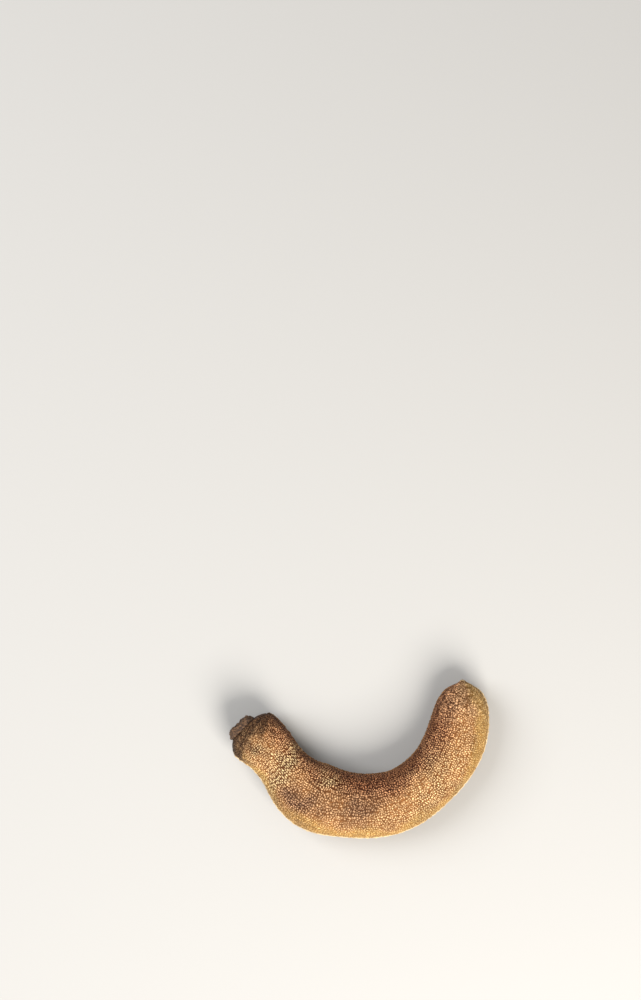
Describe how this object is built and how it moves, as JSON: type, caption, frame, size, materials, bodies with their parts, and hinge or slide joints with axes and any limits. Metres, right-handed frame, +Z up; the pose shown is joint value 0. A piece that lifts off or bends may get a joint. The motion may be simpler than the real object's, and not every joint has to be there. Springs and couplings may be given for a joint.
{
  "type": "tamarind pod",
  "caption": "Whole ripe tamarind pod, picked: a curved brown shell with low seed swellings and a grainy skin, a small beak at one end and a woody stalk stub at the other.",
  "frame": {"origin": "middle of the pod's outline, on the surface that it rests on", "axes": "+X along the chord of the bend from the stalk end to the beak end, +Y into the hollow of the bend, +Z up"},
  "size_m": [0.0934, 0.057, 0.0204],
  "materials": {
    "shell": "brittle dry pod shell, matt golden brown, covered in small pale grains with dark gaps",
    "stalk": "rough grey-brown woody stalk, broken off"
  },
  "bodies": {
    "root": {"pod": "shell", "stalk_stub": "stalk"}
  },
  "joints": []
}
